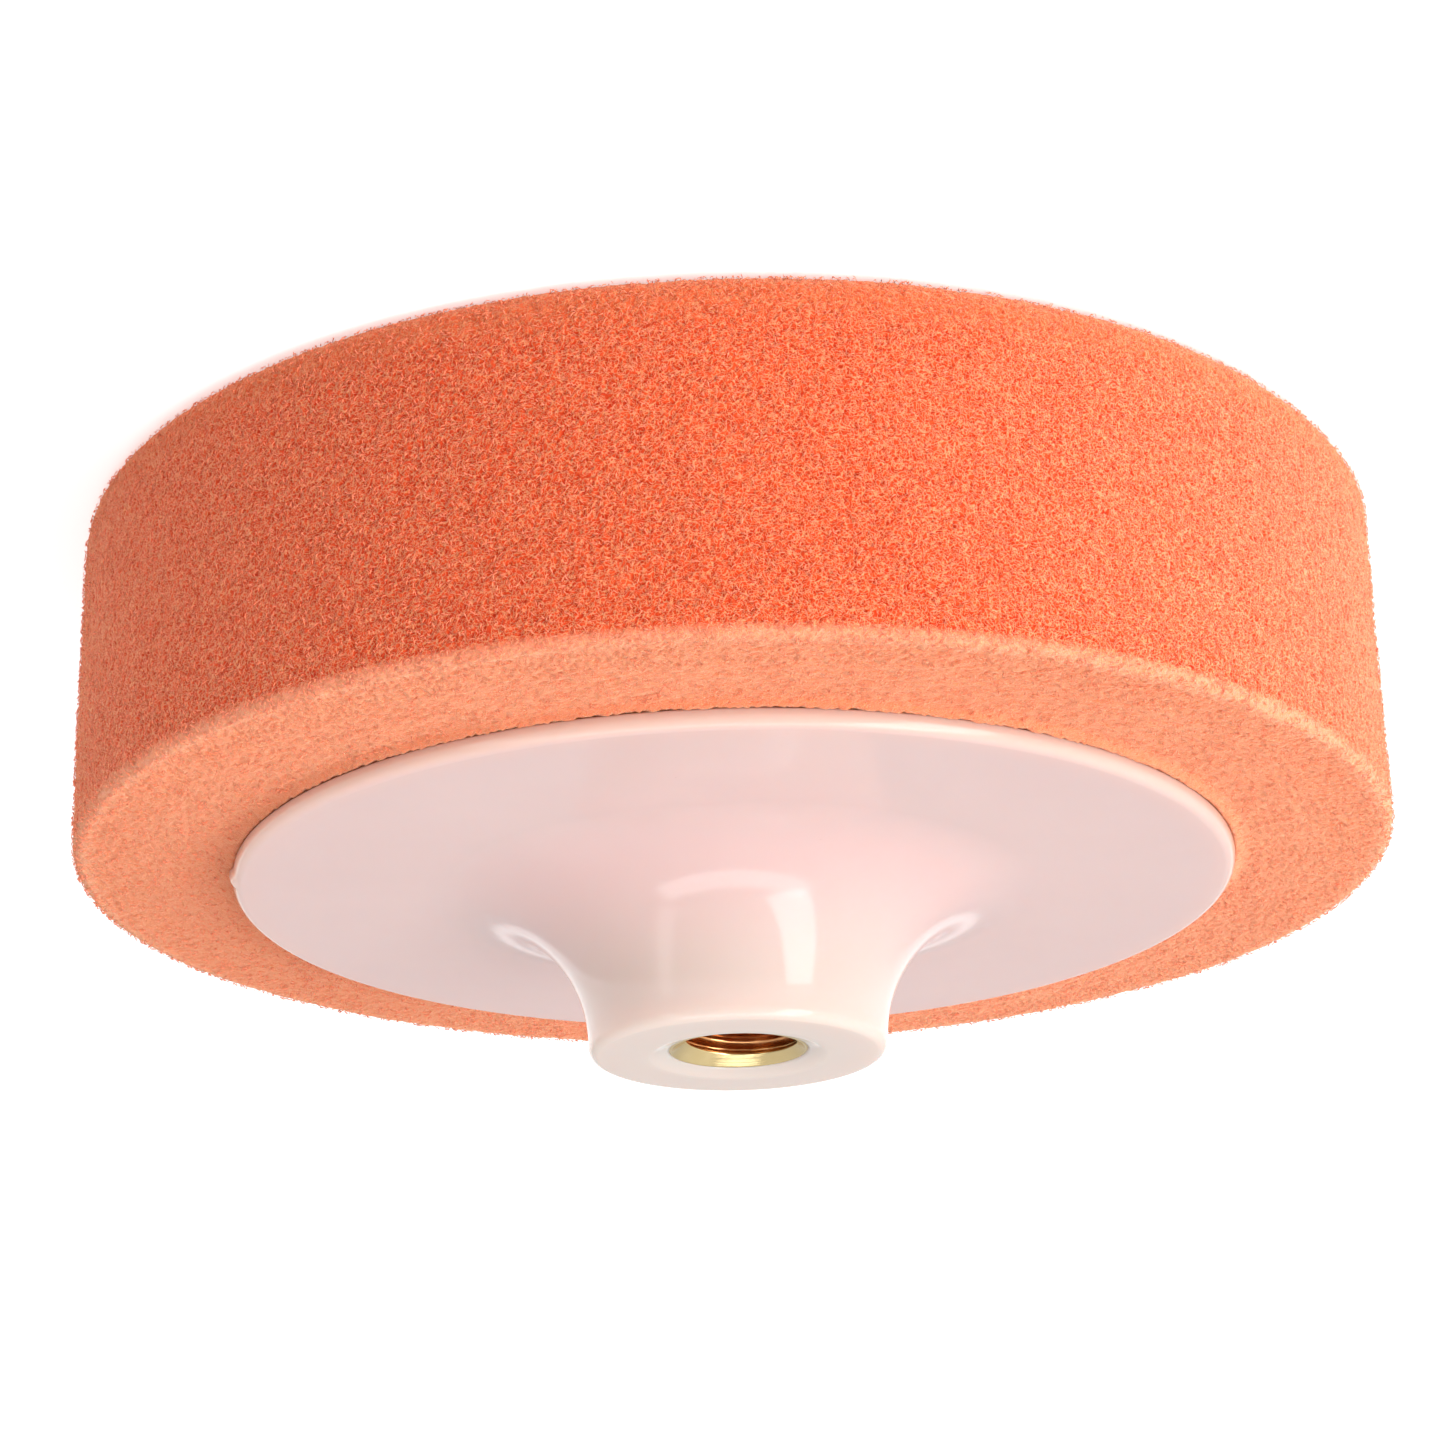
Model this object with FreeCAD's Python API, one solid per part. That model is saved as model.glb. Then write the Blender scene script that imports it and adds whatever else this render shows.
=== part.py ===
import FreeCAD, Part
import math
import os

# Polishing pad for a rotary machine. Millimetres.
# Frame: the working face lies on z = 0, centred on the origin, and +Z runs up
# the spin axis to the hub, whose threaded mouth opens upwards.

# foam pad
FOAM_R = 75.0
FOAM_HEIGHT = 39.0
FOAM_WORKING_EDGE_R = 2.5
FOAM_BACK_EDGE_R = 0.8

# glue layer between the foam's back face and the plate
GLUE_R = 56.2
GLUE_THICKNESS = 0.3

# backing plate with its hub, one moulding
PLATE_R = 57.2
PLATE_THICKNESS = 2.0
PLATE_EDGE_R = 1.3
HUB_R = 16.95
HUB_FLARE_R = 17.5           # concave flare from the plate up to the hub's rim
HUB_RIM_R = 1.2
HUB_HEIGHT = HUB_FLARE_R + HUB_RIM_R    # from the plate's upper face to the hub face
DISH_R = 9.8                 # shallow dish in the hub face round the insert
DISH_DEPTH = 0.7

# threaded insert, M14 x 2, moulded into the hub with its mouth at the dish's foot
THREAD_MINOR_R = 5.92
INSERT_LENGTH = 16.0
INSERT_COLLAR_R = 7.9
INSERT_COLLAR_LENGTH = 2.2
INSERT_MOUTH_R = 7.6
INSERT_MOUTH_DEPTH = 1.5
INSERT_FOOT_CHAMFER = 0.8
KNURL_OUTER_R = 9.5
KNURL_ROOT_R = 8.9
KNURL_TEETH = 36
GROOVE_R = 8.3
GROOVE_LENGTH = 2.0

# relief pocket in the plate under the insert, for a spindle end that runs through
RELIEF_R = 6.4
RELIEF_DEPTH = 2.0

GLUE_Z = FOAM_HEIGHT
PLATE_Z = GLUE_Z + GLUE_THICKNESS
PLATE_TOP_Z = PLATE_Z + PLATE_THICKNESS
HUB_FACE_Z = PLATE_TOP_Z + HUB_HEIGHT
INSERT_TOP_Z = HUB_FACE_Z - DISH_DEPTH
INSERT_Z = INSERT_TOP_Z - INSERT_LENGTH
COLLAR_Z = INSERT_TOP_Z - INSERT_COLLAR_LENGTH
KNURL_LENGTH = (INSERT_LENGTH - INSERT_COLLAR_LENGTH - GROOVE_LENGTH) / 2


def cylinder(radius, low, high):
    """A cylinder on the spin axis from z = low to z = high."""
    return Part.makeCylinder(radius, high - low, FreeCAD.Vector(0, 0, low))


def cone(low_radius, high_radius, low, high):
    """A cone frustum on the spin axis from z = low to z = high."""
    return Part.makeCone(low_radius, high_radius, high - low, FreeCAD.Vector(0, 0, low))


def lathe(edges):
    """A solid turned about the spin axis from a closed loop of edges in the XZ plane."""
    face = Part.Face(Part.Wire(edges))
    return face.revolve(FreeCAD.Vector(0, 0, 0), FreeCAD.Vector(0, 0, 1), 360)


def point(radius, z):
    """A point of a lathe profile."""
    return FreeCAD.Vector(radius, 0, z)


def line(start, end):
    """A straight edge of a lathe profile."""
    return Part.makeLine(point(*start), point(*end))


def arc(centre, radius, start_deg, end_deg):
    """A circular edge of a lathe profile between two angles about its centre."""
    def at(degrees):
        angle = math.radians(degrees)
        return point(centre[0] + radius * math.cos(angle), centre[1] + radius * math.sin(angle))
    return Part.Arc(at(start_deg), at((start_deg + end_deg) / 2), at(end_deg)).toShape()


def foam_pad():
    """The foam disc, with a soft working edge and a crisper back edge."""
    low, high = FOAM_WORKING_EDGE_R, FOAM_BACK_EDGE_R
    return lathe([
        line((0, 0), (FOAM_R - low, 0)),
        arc((FOAM_R - low, low), low, -90, 0),
        line((FOAM_R, low), (FOAM_R, FOAM_HEIGHT - high)),
        arc((FOAM_R - high, FOAM_HEIGHT - high), high, 0, 90),
        line((FOAM_R - high, FOAM_HEIGHT), (0, FOAM_HEIGHT)),
        line((0, FOAM_HEIGHT), (0, 0)),
    ])


def knurled_band(low, high):
    """One knurled band of the insert: a prism with V teeth along the axis."""
    corners = []
    for tooth in range(KNURL_TEETH):
        for radius, share in ((KNURL_OUTER_R, 0.0), (KNURL_ROOT_R, 0.5)):
            angle = 2 * math.pi * (tooth + share) / KNURL_TEETH
            corners.append(FreeCAD.Vector(radius * math.cos(angle), radius * math.sin(angle), low))
    outline = Part.makePolygon(corners + corners[:1])
    return Part.Face(outline).extrude(FreeCAD.Vector(0, 0, high - low))


def insert_outside():
    """The outer form of the insert with no bore, which is also the hub's pocket."""
    groove_z = INSERT_Z + KNURL_LENGTH
    bands = [
        knurled_band(INSERT_Z, groove_z),
        cylinder(GROOVE_R, groove_z, groove_z + GROOVE_LENGTH),
        knurled_band(groove_z + GROOVE_LENGTH, COLLAR_Z),
        cylinder(INSERT_COLLAR_R, COLLAR_Z, INSERT_TOP_Z),
    ]
    return bands[0].multiFuse(bands[1:])


def threaded_insert():
    """The brass insert: bore at the thread's minor radius, chamfered at both ends."""
    foot_r = THREAD_MINOR_R + INSERT_FOOT_CHAMFER
    bore = cylinder(THREAD_MINOR_R, INSERT_Z, INSERT_TOP_Z)
    mouth = cone(THREAD_MINOR_R, INSERT_MOUTH_R, INSERT_TOP_Z - INSERT_MOUTH_DEPTH, INSERT_TOP_Z)
    foot = cone(foot_r, THREAD_MINOR_R, INSERT_Z, INSERT_Z + INSERT_FOOT_CHAMFER)
    return insert_outside().cut(bore.multiFuse([mouth, foot]))


def backing_plate():
    """The moulded disc, its flared hub, the insert's pocket and the relief under it."""
    edge_x = PLATE_R - PLATE_EDGE_R
    edge_z = PLATE_TOP_Z - PLATE_EDGE_R
    flare_x = HUB_R + HUB_FLARE_R
    flare_z = PLATE_TOP_Z + HUB_FLARE_R
    rim_x = HUB_R - HUB_RIM_R
    rim_z = HUB_FACE_Z - HUB_RIM_R
    blank = lathe([
        line((0, PLATE_Z), (PLATE_R, PLATE_Z)),
        line((PLATE_R, PLATE_Z), (PLATE_R, edge_z)),
        arc((edge_x, edge_z), PLATE_EDGE_R, 0, 90),
        line((edge_x, PLATE_TOP_Z), (flare_x, PLATE_TOP_Z)),
        arc((flare_x, flare_z), HUB_FLARE_R, 270, 180),
        arc((rim_x, rim_z), HUB_RIM_R, 0, 90),
        line((rim_x, HUB_FACE_Z), (0, HUB_FACE_Z)),
        line((0, HUB_FACE_Z), (0, PLATE_Z)),
    ])
    dish = cone(INSERT_COLLAR_R, DISH_R, INSERT_TOP_Z, HUB_FACE_Z)
    relief = cylinder(RELIEF_R, INSERT_Z - RELIEF_DEPTH, INSERT_Z)
    return blank.cut(insert_outside()).cut(dish).cut(relief)


PIECES = {
    "foam_pad": foam_pad(),
    "glue_layer": cylinder(GLUE_R, GLUE_Z, PLATE_Z),
    "backing_plate": backing_plate(),
    "threaded_insert": threaded_insert(),
}

os.makedirs("parts", exist_ok=True)
for name, shape in PIECES.items():
    shape.exportStep("parts/" + name + ".step")
    print(name, shape.ShapeType, len(shape.Solids), "solid", shape.isValid(), round(shape.Volume), "mm3")
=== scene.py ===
import math

import bpy
import numpy as np
from mathutils import Matrix, Vector


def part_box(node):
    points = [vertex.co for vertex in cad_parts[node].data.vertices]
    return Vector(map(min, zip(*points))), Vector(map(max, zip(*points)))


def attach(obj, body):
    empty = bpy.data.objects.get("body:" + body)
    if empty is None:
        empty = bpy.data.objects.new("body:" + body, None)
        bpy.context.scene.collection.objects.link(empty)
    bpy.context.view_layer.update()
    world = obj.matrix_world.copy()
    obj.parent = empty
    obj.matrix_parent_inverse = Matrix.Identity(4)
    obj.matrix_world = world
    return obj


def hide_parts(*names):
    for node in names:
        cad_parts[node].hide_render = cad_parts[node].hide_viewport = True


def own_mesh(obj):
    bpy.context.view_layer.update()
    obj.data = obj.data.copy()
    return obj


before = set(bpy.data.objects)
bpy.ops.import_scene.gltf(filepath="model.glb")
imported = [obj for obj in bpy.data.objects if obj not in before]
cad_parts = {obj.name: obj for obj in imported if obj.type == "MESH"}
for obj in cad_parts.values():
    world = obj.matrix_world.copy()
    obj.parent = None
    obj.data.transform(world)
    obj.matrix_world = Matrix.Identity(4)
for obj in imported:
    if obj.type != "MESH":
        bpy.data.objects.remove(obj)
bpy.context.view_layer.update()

MM = 0.001
TURN = 2 * math.pi

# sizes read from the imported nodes, in metres
FOAM_LOW, FOAM_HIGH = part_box("foam_pad")
GLUE_LOW, GLUE_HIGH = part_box("glue_layer")
PLATE_LOW, PLATE_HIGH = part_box("backing_plate")
INSERT_LOW, INSERT_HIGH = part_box("threaded_insert")
FOAM_R = FOAM_HIGH[0]
FOAM_H = FOAM_HIGH[2]
PLATE_R = PLATE_HIGH[0]
HUB_FACE_Z = PLATE_HIGH[2]

RNG = np.random.default_rng(41)
# seeds of the noises, so that each one is a pattern of its own
WIDE_WAVE_SEED, FINE_WAVE_SEED, CELL_SEED = 3, 5, 7


# ---------------------------------------------------------------- noise in numpy
def lattice(ix, iy, iz, seed):
    """A repeatable pseudo-random number in [0, 1) for each lattice point."""
    h = (ix * 374761393 + iy * 668265263 + iz * 1440662683 + seed * 144665) & 0xFFFFFFFF
    h = ((h ^ (h >> 13)) * 1274126177) & 0xFFFFFFFF
    h = ((h ^ (h >> 15)) * 2246822519) & 0xFFFFFFFF
    return (h ^ (h >> 16)) / 4294967296.0


def smooth_noise(p, size, seed):
    """Value noise in about [-1, 1] at points p, with features of the given size."""
    q = p / size
    i = np.floor(q).astype(np.int64)
    f = q - i
    f = f * f * (3 - 2 * f)
    total = np.zeros(len(p))
    for dx in (0, 1):
        for dy in (0, 1):
            for dz in (0, 1):
                weight = (np.where(dx, f[:, 0], 1 - f[:, 0])
                          * np.where(dy, f[:, 1], 1 - f[:, 1])
                          * np.where(dz, f[:, 2], 1 - f[:, 2]))
                total += weight * lattice(i[:, 0] + dx, i[:, 1] + dy, i[:, 2] + dz, seed)
    return total * 2 - 1


def cells(p, size, seed):
    """Distances to the nearest and second nearest of scattered cell centres, in cell sizes."""
    q = p / size
    i = np.floor(q).astype(np.int64)
    first = np.full(len(p), 9.0)
    second = np.full(len(p), 9.0)
    for dx in (-1, 0, 1):
        for dy in (-1, 0, 1):
            for dz in (-1, 0, 1):
                cx, cy, cz = i[:, 0] + dx, i[:, 1] + dy, i[:, 2] + dz
                d = (cx + lattice(cx, cy, cz, seed) - q[:, 0]) ** 2
                d += (cy + lattice(cx, cy, cz, seed + 1) - q[:, 1]) ** 2
                d += (cz + lattice(cx, cy, cz, seed + 2) - q[:, 2]) ** 2
                nearer = d < first
                second = np.where(nearer, first, np.minimum(second, d))
                first = np.where(nearer, d, first)
    return np.sqrt(first), np.sqrt(second)


# ---------------------------------------------------------------- mesh helpers
def make_mesh(name, points, faces, smooth=True):
    """An object from points and a list of face index arrays, each of quads or of triangles."""
    mesh = bpy.data.meshes.new(name)
    mesh.vertices.add(len(points))
    mesh.vertices.foreach_set("co", np.asarray(points, np.float32).ravel())
    loops = np.concatenate([f.ravel() for f in faces])
    sizes = np.concatenate([np.full(len(f), f.shape[1]) for f in faces])
    mesh.loops.add(len(loops))
    mesh.loops.foreach_set("vertex_index", loops.astype(np.int32))
    mesh.polygons.add(len(sizes))
    starts = np.concatenate([[0], np.cumsum(sizes)[:-1]])
    mesh.polygons.foreach_set("loop_start", starts.astype(np.int32))
    mesh.polygons.foreach_set("use_smooth", np.full(len(sizes), smooth))
    mesh.update(calc_edges=True)
    mesh.validate()
    obj = bpy.data.objects.new(name, mesh)
    bpy.context.scene.collection.objects.link(obj)
    return obj


def ring_points(radius, z, count):
    a = np.arange(count) * TURN / count
    return np.stack([radius * np.cos(a), radius * np.sin(a), np.full(count, z)], 1)


def stitch(low, low_count, high, high_count):
    """Faces between two rings of points, whose counts are equal or differ by a factor of two."""
    if low_count == high_count:
        j = np.arange(low_count)
        k = (j + 1) % low_count
        return [np.stack([low + j, low + k, high + k, high + j], 1)]
    flip = low_count < high_count
    coarse, fine, n = (low, high, low_count) if flip else (high, low, high_count)
    j = np.arange(n)
    c0, c1 = coarse + j, coarse + (j + 1) % n
    f0, f1, f2 = fine + 2 * j, fine + 2 * j + 1, fine + (2 * j + 2) % (2 * n)
    tris = [np.stack([c0, f1, f0], 1), np.stack([c0, c1, f1], 1), np.stack([c1, f2, f1], 1)]
    return [t if flip else t[:, ::-1] for t in tris]


def lathe(name, profile, counts):
    """A closed turned mesh from (radius, z) points and the ring count of each; ends on the axis."""
    points, faces, starts = [], [], []
    at = 0
    for (r, z), n in zip(profile, counts):
        if r < 1e-9:
            points.append(np.array([[0.0, 0.0, z]]))
            n = 1
        else:
            points.append(ring_points(r, z, n))
        starts.append((at, n))
        at += n
    for (a, n), (b, m) in zip(starts, starts[1:]):
        if n == 1:
            j = np.arange(m)
            faces.append(np.stack([np.full(m, a), b + (j + 1) % m, b + j], 1))
        elif m == 1:
            j = np.arange(n)
            faces.append(np.stack([a + j, a + (j + 1) % n, np.full(n, b)], 1))
        else:
            faces += stitch(a, n, b, m)
    return make_mesh(name, np.concatenate(points), faces)


def polyline(points, step):
    """Points along straight runs through the given corners, at most step apart."""
    out = [np.array(points[0], float)]
    for a, b in zip(points, points[1:]):
        a, b = np.array(a, float), np.array(b, float)
        n = max(1, int(math.ceil(np.linalg.norm(b - a) / step)))
        out += [a + (b - a) * (i + 1) / n for i in range(n)]
    return np.array(out)


def arc(cx, cz, radius, start_deg, end_deg, n):
    """(radius, z) points along an arc in n steps."""
    a = np.radians(np.linspace(start_deg, end_deg, n + 1))
    return np.stack([cx + radius * np.cos(a), cz + radius * np.sin(a)], 1)


def chain(*parts):
    """Joins runs of (radius, z) points, dropping repeats where they meet."""
    out = [np.asarray(parts[0], float)]
    for part in parts[1:]:
        part = np.asarray(part, float)
        if np.linalg.norm(out[-1][-1] - part[0]) < 1e-7:
            part = part[1:]
        out.append(part)
    return np.concatenate(out)


# ---------------------------------------------------------------- node helpers
class Nodes:
    """Short names for building a material."""

    def __init__(self, name):
        self.mat = bpy.data.materials.new(name)
        self.mat.use_nodes = True
        self.tree = self.mat.node_tree
        self.tree.nodes.clear()
        self.out = self.add("ShaderNodeOutputMaterial")
        self.bsdf = self.add("ShaderNodeBsdfPrincipled")
        self.link(self.bsdf.outputs[0], self.out.inputs["Surface"])
        self.coords = self.add("ShaderNodeTexCoord").outputs["Object"]

    def add(self, kind, **props):
        node = self.tree.nodes.new(kind)
        for key, value in props.items():
            setattr(node, key, value)
        return node

    def link(self, a, b):
        self.tree.links.new(a, b)

    def put(self, node, name, value):
        socket = node.inputs[name]
        if isinstance(value, bpy.types.NodeSocket):
            self.link(value, socket)
        else:
            socket.default_value = value

    def noise(self, scale, detail=2.0, roughness=0.5, coords=None):
        node = self.add("ShaderNodeTexNoise")
        self.link(coords or self.coords, node.inputs["Vector"])
        node.inputs["Scale"].default_value = scale
        node.inputs["Detail"].default_value = detail
        node.inputs["Roughness"].default_value = roughness
        return node.outputs["Fac"]

    def voronoi(self, scale):
        node = self.add("ShaderNodeTexVoronoi")
        self.link(self.coords, node.inputs["Vector"])
        node.inputs["Scale"].default_value = scale
        return node.outputs["Distance"]

    def ramp(self, value, low, high, to_low=0.0, to_high=1.0):
        """A smooth step from to_low, at low and below, to to_high, at high and above."""
        node = self.add("ShaderNodeMapRange", interpolation_type="SMOOTHSTEP")
        self.put(node, "Value", value)
        node.inputs["From Min"].default_value = low
        node.inputs["From Max"].default_value = high
        node.inputs["To Min"].default_value = to_low
        node.inputs["To Max"].default_value = to_high
        return node.outputs["Result"]

    def math(self, op, a, b=0.0):
        node = self.add("ShaderNodeMath", operation=op)
        for i, v in enumerate((a, b)):
            if isinstance(v, bpy.types.NodeSocket):
                self.link(v, node.inputs[i])
            else:
                node.inputs[i].default_value = v
        return node.outputs[0]

    def mix(self, factor, a, b):
        """Colour a where factor is 0, b where it is 1; each colour is a socket or three numbers."""
        node = self.add("ShaderNodeMix", data_type="RGBA")
        self.link(factor, node.inputs[0])
        for i, v in ((6, a), (7, b)):
            if isinstance(v, bpy.types.NodeSocket):
                self.link(v, node.inputs[i])
            else:
                node.inputs[i].default_value = (*v, 1.0)
        return node.outputs[2]

    def bump(self, height, distance, strength):
        node = self.add("ShaderNodeBump")
        self.link(height, node.inputs["Height"])
        node.inputs["Distance"].default_value = distance
        node.inputs["Strength"].default_value = strength
        return node.outputs[0]

    def settings(self, **values):
        """Sets plain values on the shader, each named like its socket with _ for a space."""
        for name, value in values.items():
            self.bsdf.inputs[name.replace("_", " ")].default_value = value

    def attribute(self, name):
        return self.add("ShaderNodeAttribute", attribute_name=name).outputs["Fac"]

    def axes(self):
        """X, Y and Z of the object coordinates."""
        node = self.add("ShaderNodeSeparateXYZ")
        self.link(self.coords, node.inputs[0])
        return node.outputs

    def radius(self):
        """Distance from the spin axis."""
        x, y, _ = self.axes()
        squares = self.math("ADD", self.math("MULTIPLY", x, x), self.math("MULTIPLY", y, y))
        return self.math("SQRT", squares)


def paint(obj, material):
    obj.data.materials.clear()
    obj.data.materials.append(material)


# ---------------------------------------------------------------- foam
FOAM_SEGMENTS = 1600
LEAST_SEGMENTS = 25
FOAM_STEP = 0.30 * MM      # between rings on the side and the back face
FACE_STEP = 0.45 * MM      # on the working face
HIDDEN_STEP = 2.4 * MM     # under the plate
HIDDEN_MARGIN = 2.5 * MM   # how far the fine mesh goes on under the plate's edge
WORKING_EDGE_R = 2.5 * MM
BACK_EDGE_R = 1.4 * MM

CELL = 0.62 * MM           # spacing of the foam's cells
CELL_JITTER = 0.16 * MM
WALL_SHARE = 0.42          # how far from a cell's border still counts as wall, in cells
PORE_DEPTH = 0.24 * MM
GRAIN_DEPTH = 0.12 * MM
FUZZ_HEIGHT = 0.26 * MM
CUT_DEPTH = 0.10 * MM      # how far the cut surface lies inside the nominal one
HIDDEN_GAP = 0.05 * MM     # clearance under the glue
SWELL_HEIGHT = 0.65 * MM   # of the foam round the plate's edge
SWELL_WIDTH = 1.0 * MM
EDGE_BAND = 0.4 * MM       # the back face's look begins this far below it
EDGE_FADE = 1.3 * MM       # and fades into the side's over this height


def foam_profile():
    """(radius, z) points from the working face's centre round to the back face's, and how many show."""
    low, high = WORKING_EDGE_R, BACK_EDGE_R
    face = polyline([(0, 0), (FOAM_R - low, 0)], FACE_STEP)
    edge = arc(FOAM_R - low, low, low, -90, 0, 13)
    side = polyline([(FOAM_R, low), (FOAM_R, FOAM_H - high)], FOAM_STEP)
    rim = arc(FOAM_R - high, FOAM_H - high, high, 0, 90, 9)
    back = polyline([(FOAM_R - high, FOAM_H), (PLATE_R - HIDDEN_MARGIN, FOAM_H)], FOAM_STEP)
    hidden = polyline([(PLATE_R - HIDDEN_MARGIN, FOAM_H), (0, FOAM_H)], HIDDEN_STEP)
    shown = chain(face, edge, side, rim, back)
    return chain(shown, hidden), len(shown)


def foam_counts(profile, hidden_from):
    """Ring counts that keep the mesh even: fewer segments towards the axis."""
    counts = []
    for i, (r, _) in enumerate(profile):
        n = FOAM_SEGMENTS
        limit = 0.9 * FOAM_R if i < hidden_from else 0.7 * FOAM_R
        while r < limit and n > LEAST_SEGMENTS:
            n //= 2
            limit /= 2
        counts.append(n)
    for i in range(hidden_from, len(counts)):
        counts[i] = max(LEAST_SEGMENTS, min(counts[i], counts[i - 1]))
        if counts[i - 1] > 200 and counts[i] == counts[i - 1]:
            counts[i] = counts[i - 1] // 2
    return counts


def foam_waves(p):
    """The uneven cut of the foam, measured out from its nominal surface."""
    wide = smooth_noise(p, 24 * MM, WIDE_WAVE_SEED) * 0.16 * MM
    return wide + smooth_noise(p, 6 * MM, FINE_WAVE_SEED) * 0.08 * MM


def build_foam():
    """The turned block, with its surface pushed in at the pores and out at the cell walls."""
    profile, hidden_from = foam_profile()
    counts = foam_counts(profile, hidden_from)
    foam = lathe("foam_disc", profile, counts)
    mesh = foam.data
    n = len(mesh.vertices)
    p = np.empty(n * 3, np.float32)
    mesh.vertices.foreach_get("co", p)
    p = p.reshape(-1, 3).astype(float)
    normals = np.empty(n * 3, np.float32)
    mesh.vertex_normals.foreach_get("vector", normals)
    normals = normals.reshape(-1, 3).astype(float)
    radius = np.hypot(p[:, 0], p[:, 1])
    hidden = (p[:, 2] > FOAM_H - 1e-6) & (radius < PLATE_R - 2.0 * MM)
    jitter = (RNG.random((n, 3)) - 0.5) * CELL_JITTER
    first, second = cells(p + jitter, CELL, CELL_SEED)
    wall = np.clip(1 - (second - first) / WALL_SHARE, 0, 1)
    grain = RNG.random(n)
    fuzz = np.clip(grain * 1.5 - 0.9, 0, 1) * FUZZ_HEIGHT
    depth = (1 - wall) * PORE_DEPTH + (grain - 0.5) * GRAIN_DEPTH
    waves = foam_waves(p)
    out = waves - depth + fuzz * wall - CUT_DEPTH
    out[hidden] = -HIDDEN_GAP
    on_back = (p[:, 2] > FOAM_H - 1e-6) & ~hidden
    # the plate's edge sinks a little into the foam, which swells up round it
    swell = np.exp(-((radius - PLATE_R) / SWELL_WIDTH) ** 2) * SWELL_HEIGHT
    under = np.clip((PLATE_R - radius) / (0.3 * MM), 0, 1)
    out = np.where(on_back, (out + swell) * (1 - under) - 0.02 * MM, out)
    q = p + normals * out[:, None]
    q[:, 2] = np.maximum(q[:, 2], 0.0)
    mesh.vertices.foreach_set("co", q.astype(np.float32).ravel())
    # painted shade in the pores, kept in an attribute: darkest inside the cells, fainter on the back
    # face
    pore_shade = mesh.attributes.new("pore_shade", "FLOAT", "POINT")
    open_side = np.clip((FOAM_H - EDGE_BAND - p[:, 2]) / EDGE_FADE, 0, 1)
    value = np.clip((1 - wall) * 0.75 + (1 - grain) * 0.35, 0, 1) * (0.30 + 0.70 * open_side)
    pore_shade.data.foreach_set("value", value.astype(np.float32))
    side = mesh.attributes.new("open_side", "FLOAT", "POINT")
    side.data.foreach_set("value", open_side.astype(np.float32))
    mesh.update()
    return foam


def threads(m, scale, shift, width):
    """Thin curly lines, as the cut cell struts look: the zero line of a noise."""
    moved = m.add("ShaderNodeVectorMath", operation="ADD")
    m.link(m.coords, moved.inputs[0])
    moved.inputs[1].default_value = (shift, shift * 1.7, -shift)
    field = m.noise(scale, 0.6, 0.5, moved.outputs[0])
    return m.ramp(m.math("ABSOLUTE", m.math("SUBTRACT", field, 0.5)), 0.0, width, 1.0, 0.0)


def foam_material():
    """Side and back face differ: the side's pores hold deep red painted shade, the back face is smoother
    and paler.
    """
    m = Nodes("open_cell_foam")
    side = m.attribute("open_side")
    pore_shade = m.attribute("pore_shade")
    curls = m.math("MAXIMUM", threads(m, 2250, 0.31, 0.060), threads(m, 2800, 1.27, 0.050))
    tone = m.noise(45, 3.0, 0.6)
    body_side = m.mix(tone, (0.630, 0.066, 0.0140), (0.660, 0.086, 0.0215))
    body_back = m.mix(tone, (0.700, 0.192, 0.087), (0.716, 0.216, 0.102))
    body = m.mix(side, body_back, body_side)
    # painted shade in the pores: deep red on the side, paler on the back face
    dark_side = m.mix(tone, (0.45, 0.019, 0.0025), (0.50, 0.026, 0.004))
    dark_back = (0.66, 0.100, 0.033)
    dark = m.mix(side, dark_back, dark_side)
    colour = m.mix(pore_shade, body, dark)
    # painted shade in small pits, which the bump below also dents
    pits = m.ramp(m.voronoi(1500), 0.10, 0.34, 1.0, 0.0)
    colour = m.mix(m.math("MULTIPLY", pits, 0.45), colour, dark)
    curl_share = m.math("MULTIPLY", curls, m.ramp(side, 0, 1, 0.25, 0.80))
    colour = m.mix(curl_share, colour, (0.80, 0.32, 0.155))
    # painted light on both edges: a highlight line round the back face, a wide pale band by the working
    # face
    z = m.axes()[2]
    rim = m.math("MULTIPLY", m.ramp(z, FOAM_H - 1.9 * MM, FOAM_H - 0.7 * MM),
                 m.ramp(m.radius(), FOAM_R - 2.8 * MM, FOAM_R - 0.9 * MM))
    colour = m.mix(m.math("MULTIPLY", rim, 0.50), colour, (0.84, 0.37, 0.22))
    # painted light from the bright floor shining through the foam by the working face
    painted_floor_glow = m.ramp(z, 1.0 * MM, 7.0 * MM, 0.5, 0.0)
    colour = m.mix(painted_floor_glow, colour, (0.62, 0.155, 0.055))
    m.put(m.bsdf, "Base Color", colour)
    m.settings(Subsurface_Weight=0.55, Subsurface_Radius=(1.0, 0.22, 0.10), Subsurface_Scale=1.4 * MM)
    m.settings(Roughness=0.85, Specular_IOR_Level=0.05)
    m.settings(Sheen_Weight=0.70, Sheen_Roughness=0.45, Sheen_Tint=(1.0, 0.60, 0.42, 1.0))
    height = m.math("SUBTRACT", curls, m.math("MULTIPLY", pits, 0.7))
    m.put(m.bsdf, "Normal", m.bump(height, 0.10 * MM, 0.7))
    return m.mat


# the cut ends of the cell struts, which stand up as a fine fuzz
STRUTS_PER_M2 = 1.15e6     # on the side
FACE_STRUT_SHARE = 0.65    # of that on the flat faces
RIM_STRUTS = 2800          # on each rounded edge
LOOSE_SHARE = 0.22         # of the struts, with one end free
STRUT_ROOT = 0.16 * MM     # how deep the fixed ends go
STRUT_POINTS = 8           # two tips and two rings of three


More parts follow.
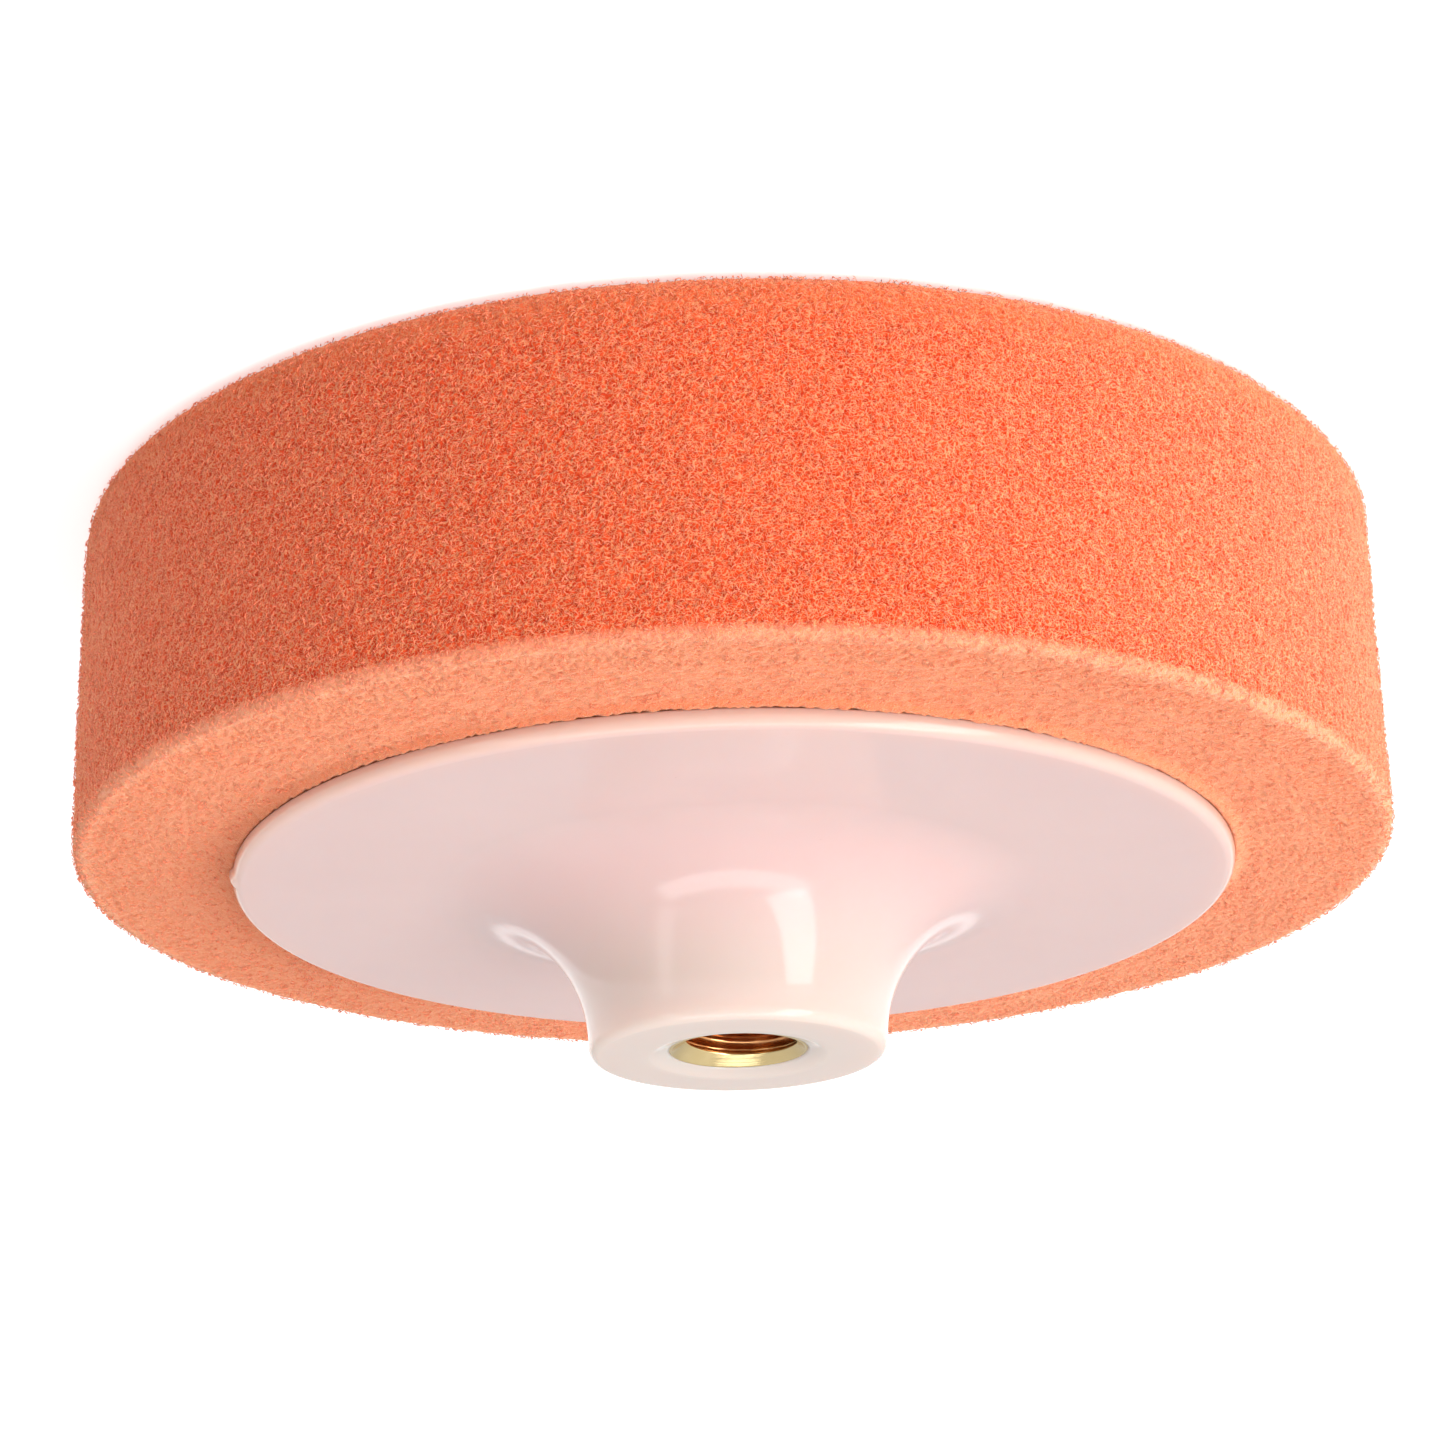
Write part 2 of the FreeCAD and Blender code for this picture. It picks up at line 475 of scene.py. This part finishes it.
def strut_spots():
    """Random places on the foam's outer surface, with the outward normal of each."""
    spots, normals = [], []

    def add(radius, z, angle, nr, nz):
        spots.append(np.stack([radius * np.cos(angle), radius * np.sin(angle), z], 1))
        normals.append(np.stack([nr * np.cos(angle), nr * np.sin(angle), nz], 1))

    low, high = WORKING_EDGE_R, BACK_EDGE_R
    n = int(TURN * FOAM_R * (FOAM_H - low - high) * STRUTS_PER_M2)
    z = low + RNG.random(n) * (FOAM_H - low - high)
    add(np.full(n, FOAM_R), z, RNG.random(n) * TURN, np.ones(n), np.zeros(n))
    for inner, level, up in ((PLATE_R + 0.6 * MM, FOAM_H, 1.0), (0.0, 0.0, -1.0)):
        outer = FOAM_R - (high if up > 0 else low)
        n = int(math.pi * (outer**2 - inner**2) * STRUTS_PER_M2 * FACE_STRUT_SHARE)
        r = np.sqrt(inner**2 + RNG.random(n) * (outer**2 - inner**2))
        add(r, np.full(n, level), RNG.random(n) * TURN, np.zeros(n), np.full(n, up))
    for edge, level, up in ((high, FOAM_H, 1.0), (low, 0.0, -1.0)):
        tilt = RNG.random(RIM_STRUTS) * math.pi / 2
        r = FOAM_R - edge + edge * np.cos(tilt)
        z = level - up * edge * (1 - np.sin(tilt))
        add(r, z, RNG.random(RIM_STRUTS) * TURN, np.cos(tilt), up * np.sin(tilt))
    return np.concatenate(spots), np.concatenate(normals)


def build_struts():
    """Each strut end is a closed spindle bowed out of the surface, two rings between two tips."""
    spot, normal = strut_spots()
    n = len(spot)
    spot = spot + normal * foam_waves(spot)[:, None]
    helper = RNG.normal(size=(n, 3))
    along = np.cross(normal, helper)
    along /= np.linalg.norm(along, axis=1)[:, None]
    across = np.cross(along, normal)
    length = (0.35 + 0.55 * RNG.random(n))[:, None] * MM
    bow = (0.02 + 0.13 * RNG.random(n))[:, None] * MM
    loose = (RNG.random(n) < LOOSE_SHARE)[:, None]
    lift = np.where(loose, (0.10 + 0.26 * RNG.random(n))[:, None] * MM, -STRUT_ROOT)
    lean = (RNG.random(n) - 0.5)[:, None] * 0.35 * MM
    start = spot - along * length / 2 - normal * STRUT_ROOT
    first = spot - along * length / 6 + normal * bow + across * lean * 0.6
    second = spot + along * length / 6 + normal * np.where(loose, bow + lift * 0.4, bow) + across * lean
    end = spot + along * length * np.where(loose, 0.30, 0.5) + normal * lift
    thick = (0.040 + 0.030 * RNG.random(n))[:, None] * MM
    rings = []
    for centre in (first, second):
        for k in range(3):
            a = k * TURN / 3
            rings.append(centre + thick * (normal * math.cos(a) + across * math.sin(a)))
    points = np.stack([start] + rings + [end], 1)
    points[:, :, 2] = np.maximum(points[:, :, 2], 0.0)
    base = np.arange(n)[:, None] * STRUT_POINTS
    tris, quads = [], []
    for k in range(3):
        l = (k + 1) % 3
        tris.append(base + np.array([0, 1 + l, 1 + k]))
        tris.append(base + np.array([7, 4 + k, 4 + l]))
        quads.append(base + np.array([1 + k, 1 + l, 4 + l, 4 + k]))
    faces = [np.concatenate(tris), np.concatenate(quads)]
    return make_mesh("foam_strut_ends", points.reshape(-1, 3), faces)


def strut_material():
    m = Nodes("foam_strut")
    tone = m.noise(700, 2.0, 0.6)
    m.put(m.bsdf, "Base Color", m.mix(tone, (0.84, 0.165, 0.064), (0.90, 0.30, 0.155)))
    m.settings(Roughness=0.6, Specular_IOR_Level=0.3, Sheen_Weight=0.2)
    return m.mat


foam = build_foam()
paint(foam, foam_material())
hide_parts("foam_pad")
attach(foam, "foam")
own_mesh(foam)

struts = build_struts()
paint(struts, strut_material())
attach(struts, "foam")
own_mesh(struts)


# ---------------------------------------------------------------- backing plate
PLATE_SEGMENTS = 384
PLATE_Z = PLATE_LOW[2]
PLATE_T = 2.0 * MM
PLATE_EDGE_R = 1.3 * MM
PLATE_TOP = PLATE_Z + PLATE_T
HUB_R = 16.95 * MM
FLARE_R = 17.5 * MM
HUB_RIM_R = 1.2 * MM
DISH_R = 9.8 * MM
COLLAR_R = 7.9 * MM
POCKET_R = 6.4 * MM
POCKET_FLOOR_Z = INSERT_LOW[2] - 2.0 * MM
GATE_ANGLE = math.radians(-9)
GATE_HALF_WIDTH = math.radians(1.6)
GATE_LENGTH = 0.5 * MM


def plate_profile():
    """(radius, z) points from the underside's centre, round the edge, up the hub and down its mouth."""
    flare_x, flare_z = HUB_R + FLARE_R, PLATE_TOP + FLARE_R
    rim_x = HUB_R - HUB_RIM_R
    edge_x = PLATE_R - PLATE_EDGE_R
    foot = 0.3 * MM
    wall = COLLAR_R + 0.02 * MM
    return chain(
        polyline([(0, PLATE_Z), (PLATE_R - foot, PLATE_Z)], 3 * MM),
        arc(PLATE_R - foot, PLATE_Z + foot, foot, -90, 0, 4),
        arc(edge_x, PLATE_TOP - PLATE_EDGE_R, PLATE_EDGE_R, 0, 90, 14),
        polyline([(edge_x, PLATE_TOP), (flare_x, PLATE_TOP)], 1.0 * MM),
        arc(flare_x, flare_z, FLARE_R, 270, 180, 64),
        arc(rim_x, HUB_FACE_Z - HUB_RIM_R, HUB_RIM_R, 0, 90, 12),
        polyline([(rim_x, HUB_FACE_Z), (DISH_R + 0.5 * MM, HUB_FACE_Z)], 0.8 * MM),
        [(DISH_R + 0.15 * MM, HUB_FACE_Z - 0.04 * MM), (DISH_R - 0.3 * MM, HUB_FACE_Z - 0.17 * MM),
         (COLLAR_R + 0.35 * MM, INSERT_HIGH[2] + 0.14 * MM), (wall, INSERT_HIGH[2] + 0.03 * MM)],
        [(wall, HUB_FACE_Z - 3 * MM), (POCKET_R, INSERT_LOW[2]),
         (POCKET_R, POCKET_FLOOR_Z), (0, POCKET_FLOOR_Z)],
    )


def plastic_material():
    """Pinkish over the foam, a painted glow of the foam's orange light through the thin plastic; ivory
    up the hub; a few dark specks; and a painted orange glow and painted light at the plate's edge.
    """
    m = Nodes("milky_moulded_plastic")
    height = m.ramp(m.axes()[2], PLATE_TOP + 1 * MM, HUB_FACE_Z - 3 * MM)
    radius = m.radius()
    rim = m.ramp(radius, PLATE_R - 5 * MM, PLATE_R - 0.8 * MM)
    cloud = m.noise(55, 2.0, 0.5)
    # the pink is painted light: the foam's orange glow showing through the thin plate
    pink = m.mix(cloud, (0.717, 0.488, 0.464), (0.766, 0.527, 0.50))
    ivory = m.mix(cloud, (0.686, 0.557, 0.490), (0.72, 0.609, 0.555))
    colour = m.mix(height, pink, ivory)
    # painted orange glow of the foam, near the plate's edge
    colour = m.mix(m.math("MULTIPLY", rim, 0.10), colour, (0.94, 0.46, 0.32))
    # painted light: the plate's rounded edge made paler and warmer
    edge = m.ramp(radius, PLATE_R - 1.1 * MM, PLATE_R - 0.1 * MM)
    colour = m.mix(m.math("MULTIPLY", edge, 0.50), colour, (0.98, 0.62, 0.50))
    specks = m.ramp(m.voronoi(260), 0.0, 0.035, 0.75, 0.0)
    specks = m.math("MULTIPLY", specks, m.ramp(m.noise(40, 1.0), 0.55, 0.62))
    colour = m.mix(specks, colour, (0.25, 0.14, 0.11))
    m.put(m.bsdf, "Base Color", colour)
    m.settings(Roughness=0.12, IOR=1.5)
    m.settings(Subsurface_Weight=0.6, Subsurface_Radius=(1.0, 0.6, 0.45), Subsurface_Scale=6 * MM)
    ripple = m.noise(90, 2.0, 0.4)
    m.put(m.bsdf, "Normal", m.bump(ripple, 0.06 * MM, 0.5))
    return m.mat


profile = plate_profile()
plate = lathe("plate_and_hub", profile, [PLATE_SEGMENTS] * len(profile))
for vertex in plate.data.vertices:
    # the stub of the moulding gate, broken off at the plate's edge
    across = math.hypot(vertex.co.x, vertex.co.y)
    off = math.atan2(vertex.co.y, vertex.co.x) - GATE_ANGLE
    if across > PLATE_R - 0.5 * MM and abs(off) < GATE_HALF_WIDTH:
        vertex.co.xy *= 1 + GATE_LENGTH * (1 - abs(off) / GATE_HALF_WIDTH) / across
paint(plate, plastic_material())
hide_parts("backing_plate")
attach(plate, "backing")


# ---------------------------------------------------------------- threaded insert
PITCH = 2.0 * MM
MINOR_R = 5.92 * MM
MAJOR_R = 7.0 * MM
MOUTH_R = 7.6 * MM
MOUTH_DEPTH = 1.5 * MM
THREAD_STEP = 0.1 * MM     # between rings
THREAD_SEGMENTS = 192
FOOT_CHAMFER = 0.8 * MM    # height of the bore's chamfer at its foot
KNURL_R = 9.4 * MM         # the wide part, sunk in the hub
KNURL_HEIGHT = 13.6 * MM


def thread_radius(z, angle):
    """Wall radius of a right-handed internal thread with 60 degree flanks and flattened crests."""
    phase = np.mod((z / PITCH) - angle / TURN, 1.0)
    ramp = 1 - np.abs(phase - 0.5) * 2
    depth = np.clip((ramp - 0.25) / 0.62, 0, 1)
    return MINOR_R + (MAJOR_R - MINOR_R) * depth


def build_insert():
    """A closed tube: rings down the threaded bore, then up the outside."""
    top, low = INSERT_HIGH[2], INSERT_LOW[2]
    rows = np.arange(0, int((top - low) / THREAD_STEP) + 1) * THREAD_STEP
    angles = np.arange(THREAD_SEGMENTS) * TURN / THREAD_SEGMENTS
    rings, faces = [], []
    for down in rows:
        z = top - down
        mouth = MINOR_R + (MOUTH_R - MINOR_R) * (1 - down / MOUTH_DEPTH)
        foot = MINOR_R + (z - low < FOOT_CHAMFER) * (FOOT_CHAMFER - (z - low)) * 1.4
        r = np.maximum(np.maximum(thread_radius(z, angles), mouth), foot)
        rings.append(np.stack([r * np.cos(angles), r * np.sin(angles), np.full_like(angles, z)], 1))
    collar = COLLAR_R - 0.02 * MM
    outside = [(KNURL_R, low), (KNURL_R, low + KNURL_HEIGHT), (collar, low + KNURL_HEIGHT + 0.3 * MM),
               (collar, top - 0.12 * MM), (COLLAR_R - 0.1 * MM, top)]
    for r, z in outside:
        rings.append(ring_points(r, z, THREAD_SEGMENTS))
    points = np.concatenate(rings)
    n = THREAD_SEGMENTS
    for i in range(len(rings)):
        j = (i + 1) % len(rings)
        faces += [f[:, ::-1] for f in stitch(i * n, n, j * n, n)]
    return make_mesh("brass_bush", points, faces)


def brass_material():
    """Clean and turned at the mouth; down in the thread a redder, darker brown is painted reflection and
    painted shade.
    """
    m = Nodes("turned_brass")
    z = m.axes()[2]
    lines = m.add("ShaderNodeTexNoise", noise_dimensions="2D")
    pair = m.add("ShaderNodeCombineXYZ")
    m.link(m.radius(), pair.inputs[0])
    m.link(z, pair.inputs[1])
    m.link(pair.outputs[0], lines.inputs["Vector"])
    lines.inputs["Scale"].default_value = 9000
    tone = m.noise(600, 3.0)
    clean = m.mix(tone, (0.72, 0.55, 0.26), (0.80, 0.63, 0.34))
    # painted reflection and shade down the bore: a redder, darker brown below the mouth
    bore_reflection_and_shade = m.mix(tone, (0.68, 0.30, 0.12), (0.82, 0.42, 0.19))
    mouth_z = INSERT_HIGH[2] - MOUTH_DEPTH
    inside = m.ramp(z, mouth_z - 0.5 * MM, mouth_z + 0.2 * MM, 1.0, 0.0)
    colour = m.mix(inside, clean, bore_reflection_and_shade)
    m.put(m.bsdf, "Base Color", colour)
    m.settings(Metallic=1.0)
    m.put(m.bsdf, "Roughness", m.ramp(tone, 0.3, 0.7, 0.14, 0.26))
    m.put(m.bsdf, "Normal", m.bump(lines.outputs["Fac"], 0.02 * MM, 0.6))
    return m.mat


insert = build_insert()
paint(insert, brass_material())
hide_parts("threaded_insert")
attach(insert, "backing")


# ---------------------------------------------------------------- glue
def glue_material():
    m = Nodes("contact_adhesive")
    tone = m.noise(300, 3.0)
    m.put(m.bsdf, "Base Color", m.mix(tone, (0.42, 0.12, 0.05), (0.62, 0.22, 0.10)))
    m.settings(Roughness=0.35)
    m.put(m.bsdf, "Normal", m.bump(tone, 0.1 * MM, 0.5))
    return m.mat


paint(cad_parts["glue_layer"], glue_material())


# ---------------------------------------------------------------- stage, light, camera
def stage():
    """A wide, pale floor whose far edge turns up a little, so that low views don't look past it."""
    size, cove = 6.0, 0.45
    corners = np.array([(-1, -1), (1, -1), (1, 1), (-1, 1)], float)
    points = [(x * size, y * size, 0) for x, y in corners]
    points += [(x * (size + cove), y * (size + cove), cove) for x, y in corners]
    k = np.arange(4)
    skirt = np.stack([k, k + 4, (k + 1) % 4 + 4, (k + 1) % 4], 1)
    floor = make_mesh("floor", points, [np.array([[0, 1, 2, 3]]), skirt], smooth=False)
    m = Nodes("pale_floor")
    tone = m.noise(3, 2.0)
    m.put(m.bsdf, "Base Color", m.mix(tone, (0.86, 0.86, 0.86), (0.88, 0.88, 0.88)))
    m.settings(Roughness=0.9, Specular_IOR_Level=0.1)
    m.settings(Emission_Color=(1, 1, 1, 1), Emission_Strength=0.50)
    paint(floor, m.mat)


def softbox(name, side_deg, height_deg, distance, width, tall, radiance, target):
    """A soft area light. side_deg is measured from the camera's side of the object, towards -X."""
    a, e = math.radians(side_deg), math.radians(height_deg)
    away = Vector((-math.sin(a) * math.cos(e), -math.cos(a) * math.cos(e), math.sin(e)))
    light = bpy.data.lights.new(name, "AREA")
    light.shape = "RECTANGLE"
    light.size, light.size_y = width, tall
    light.energy = radiance * math.pi * width * tall
    obj = bpy.data.objects.new(name, light)
    obj.location = Vector(target) + away * distance
    obj.rotation_mode = "QUATERNION"
    obj.rotation_quaternion = away.to_track_quat("Z", "Y")
    bpy.context.scene.collection.objects.link(obj)
    return obj


# brightness of the white room: the same everywhere, plus smooth lobes; each is (direction, from, to,
# strength), where from and to are cosines of the angle to the direction
ROOM_BASE = 0.63
ROOM_LOBES = (
    ((0.0, 0.0, 1.0), 0.1, 1.0, 0.18),
    ((-1.0, -0.1, 0.1), 0.3, 1.0, 0.30),
    ((0.72, -0.68, 0.0), 0.2, 1.0, -0.34),
)


def lights():
    """A white room, brighter towards -X and overhead and darker towards +X and -Y, with softboxes.

    A tall key strip, a dimmer one opposite, a wide one overhead, and a low one for the foam alone.
    """
    world = bpy.data.worlds.new("studio")
    world.use_nodes = True
    tree = world.node_tree
    back = tree.nodes["Background"]
    back.inputs[0].default_value = (1, 1, 1, 1)
    coords = tree.nodes.new("ShaderNodeTexCoord").outputs["Generated"]

    def lobe(direction, low, high, strength):
        dot = tree.nodes.new("ShaderNodeVectorMath")
        dot.operation = "DOT_PRODUCT"
        tree.links.new(coords, dot.inputs[0])
        dot.inputs[1].default_value = Vector(direction).normalized()
        ramp = tree.nodes.new("ShaderNodeMapRange")
        ramp.interpolation_type = "SMOOTHSTEP"
        tree.links.new(dot.outputs["Value"], ramp.inputs["Value"])
        for name, value in zip(("From Min", "From Max", "To Min", "To Max"), (low, high, 0.0, strength)):
            ramp.inputs[name].default_value = value
        return ramp.outputs["Result"]

    total = tree.nodes.new("ShaderNodeMath")
    total.operation = "ADD"
    total.inputs[0].default_value = ROOM_BASE
    total.inputs[1].default_value = 0.0
    for direction, low, high, strength in ROOM_LOBES:
        more = tree.nodes.new("ShaderNodeMath")
        more.operation = "ADD"
        tree.links.new(total.outputs[0], more.inputs[0])
        tree.links.new(lobe(direction, low, high, strength), more.inputs[1])
        total = more
    tree.links.new(total.outputs[0], back.inputs[1])
    bpy.context.scene.world = world
    middle = (0, 0, 0.04)
    # side and height in degrees, distance, width and height in metres, radiance
    softbox("key_strip", 47, 31, 1.0, 0.40, 1.15, 4.4, middle)
    softbox("dim_strip", -53, 25, 1.0, 0.20, 1.0, 1.3, middle)
    softbox("overhead", 0, 75, 1.0, 1.1, 0.24, 2.6, middle)
    low_fill = softbox("low_fill", 66, 14, 1.0, 1.6, 0.36, 7.2, middle)
    foam_only = bpy.data.collections.new("lit_by_low_fill")
    for piece in (foam, struts):
        foam_only.objects.link(piece)
    low_fill.light_linking.receiver_collection = foam_only


CAMERA_DEGREES = (20.367, 0.143, 178.600)   # pitch down, yaw and roll: the picture is upside down
CAMERA_AT = (0, -0.35960, 0.15317)
CAMERA_SENSOR, CAMERA_LENS = 36, 81.4       # mm


def camera():
    pitch, yaw, roll = (math.radians(v) for v in CAMERA_DEGREES)
    level = math.cos(pitch)
    forward = Vector((math.sin(yaw) * level, math.cos(yaw) * level, -math.sin(pitch)))
    right = Vector((math.cos(yaw), -math.sin(yaw), 0))
    up = right.cross(forward)
    across = right * math.cos(roll) + up * math.sin(roll)
    upward = up * math.cos(roll) - right * math.sin(roll)
    cam = bpy.data.cameras.new("camera")
    cam.sensor_width = CAMERA_SENSOR
    cam.lens = CAMERA_LENS
    obj = bpy.data.objects.new("camera", cam)
    turn = Matrix((across, upward, -forward)).transposed().to_4x4()
    obj.matrix_world = Matrix.Translation(CAMERA_AT) @ turn
    bpy.context.scene.collection.objects.link(obj)
    bpy.context.scene.camera = obj


stage()
lights()
camera()
bpy.context.scene.view_settings.view_transform = "Standard"
